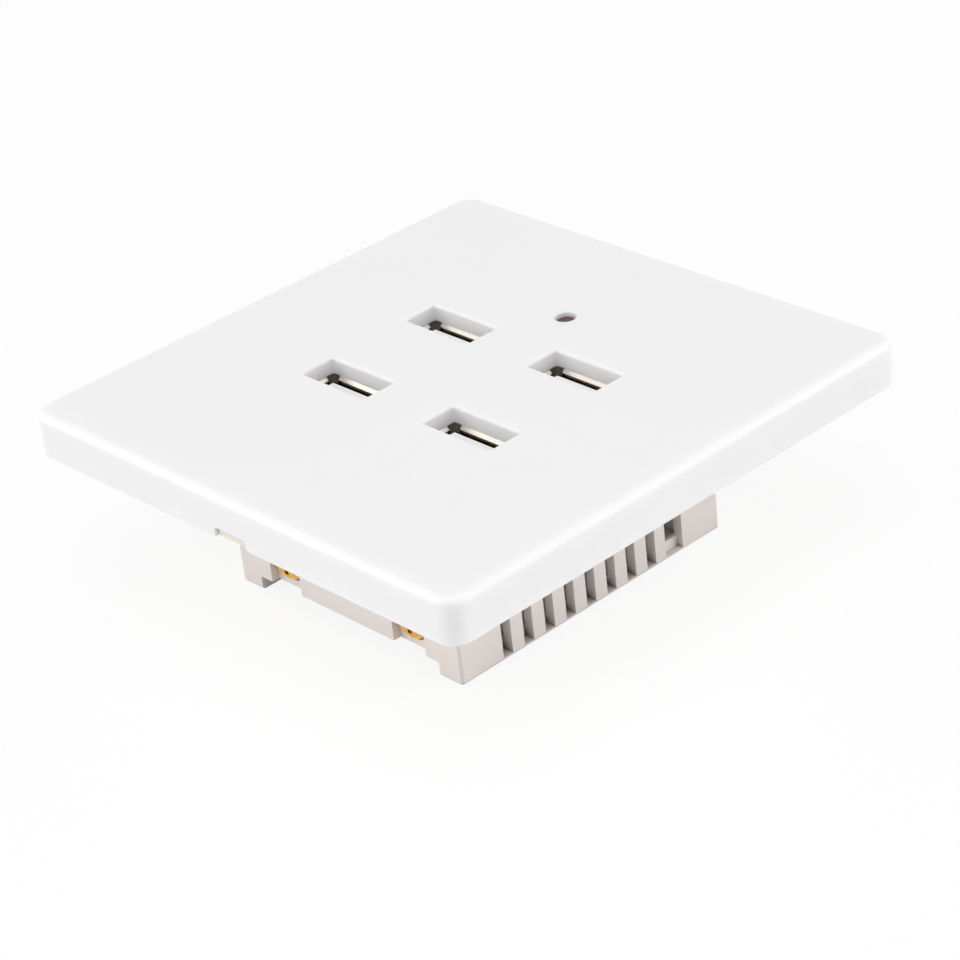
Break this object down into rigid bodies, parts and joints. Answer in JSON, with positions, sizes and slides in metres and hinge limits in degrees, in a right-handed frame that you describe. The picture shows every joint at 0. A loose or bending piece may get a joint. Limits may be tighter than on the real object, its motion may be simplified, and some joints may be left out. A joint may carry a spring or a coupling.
{
  "type": "usb wall socket",
  "caption": "Square flush wall plate with USB charging ports and an indicator hole, on a vented rear box with brass screw terminals.",
  "frame": {"origin": "centre of the wall plane, midway between the two wall-screw slots", "axes": "+X right and +Y up along the wall, +Z out of the wall towards the user"},
  "size_m": [0.086, 0.086, 0.0293],
  "materials": {
    "cover_plastic": "satin white moulded ABS",
    "frame_plastic": "warm off-white polycarbonate",
    "box_plastic": "warm light grey polycarbonate",
    "nickel_shell": "nickel-plated steel",
    "insulator": "white thermoplastic",
    "gold_contact": "gold-plated bronze",
    "brass": "bright brass",
    "zinc_steel": "zinc-plated steel",
    "led_lens": "unlit red lens",
    "board": "green glass-epoxy laminate",
    "ferrite": "sintered ferrite",
    "bobbin_plastic": "black phenolic",
    "winding_tape": "yellow polyester tape",
    "tinned_copper": "tinned copper",
    "copper_wire": "enamelled copper",
    "can_sleeve": "dark sleeve on an aluminium can",
    "disc_coating": "blue epoxy coating",
    "fuse_body": "brown moulded body",
    "chip_body": "black epoxy"
  },
  "bodies": {
    "base": {"mounting_frame": "frame_plastic", "rear_box": "box_plastic", "main_board": "board", "indicator_led": "led_lens", "case_screws": "zinc_steel", "board_screws": "zinc_steel", "usb_shell_1": "nickel_shell", "usb_shell_2": "nickel_shell", "usb_shell_3": "nickel_shell", "usb_shell_4": "nickel_shell", "usb_insulator_1": "insulator", "usb_insulator_2": "insulator", "usb_insulator_3": "insulator", "usb_insulator_4": "insulator", "usb_contacts_1": "gold_contact", "usb_contacts_2": "gold_contact", "usb_contacts_3": "gold_contact", "usb_contacts_4": "gold_contact", "terminal_bar_live": "brass", "terminal_bar_neutral": "brass", "transformer_core": "ferrite", "transformer_bobbin": "bobbin_plastic", "transformer_winding": "winding_tape", "transformer_pins": "tinned_copper", "input_capacitor_1": "can_sleeve", "input_capacitor_2": "can_sleeve", "output_capacitor_1": "can_sleeve", "output_capacitor_2": "can_sleeve", "interference_capacitor": "disc_coating", "fuse": "fuse_body", "choke_core": "ferrite", "choke_coil": "copper_wire", "bridge_rectifier": "chip_body", "controller_chip": "chip_body", "output_diode": "chip_body", "optocoupler": "chip_body", "port_chips": "chip_body", "chip_resistors": "chip_body"},
    "cover": {"front_cover": "cover_plastic"},
    "live_screw": {"terminal_screw_live": "brass"},
    "live_cage": {"clamp_cage_live": "zinc_steel"},
    "neutral_screw": {"terminal_screw_neutral": "brass"},
    "neutral_cage": {"clamp_cage_neutral": "zinc_steel"}
  },
  "joints": [
    {"name": "cover_lift", "type": "slide", "parent": "base", "child": "cover", "axis": [0, 0, 1], "range_m": [0, 0.03]},
    {"name": "live_screw_turn", "type": "hinge", "parent": "base", "child": "live_screw", "pos_m": [-0.0128, -0.0253, -0.0163], "axis": [0, 1, 0], "range_deg": [0, 1320]},
    {"name": "live_cage_slide", "type": "slide", "parent": "base", "child": "live_cage", "axis": [0, -1, 0], "range_m": [0, 0.0022]},
    {"name": "neutral_screw_turn", "type": "hinge", "parent": "base", "child": "neutral_screw", "pos_m": [0.0128, -0.0253, -0.0163], "axis": [0, 1, 0], "range_deg": [0, 1320]},
    {"name": "neutral_cage_slide", "type": "slide", "parent": "base", "child": "neutral_cage", "axis": [0, -1, 0], "range_m": [0, 0.0022]}
  ],
  "couplings": [
    {"joint": "live_screw_turn", "follows": "live_cage_slide", "rad_per_m": 10472},
    {"joint": "neutral_screw_turn", "follows": "neutral_cage_slide", "rad_per_m": 10472}
  ]
}
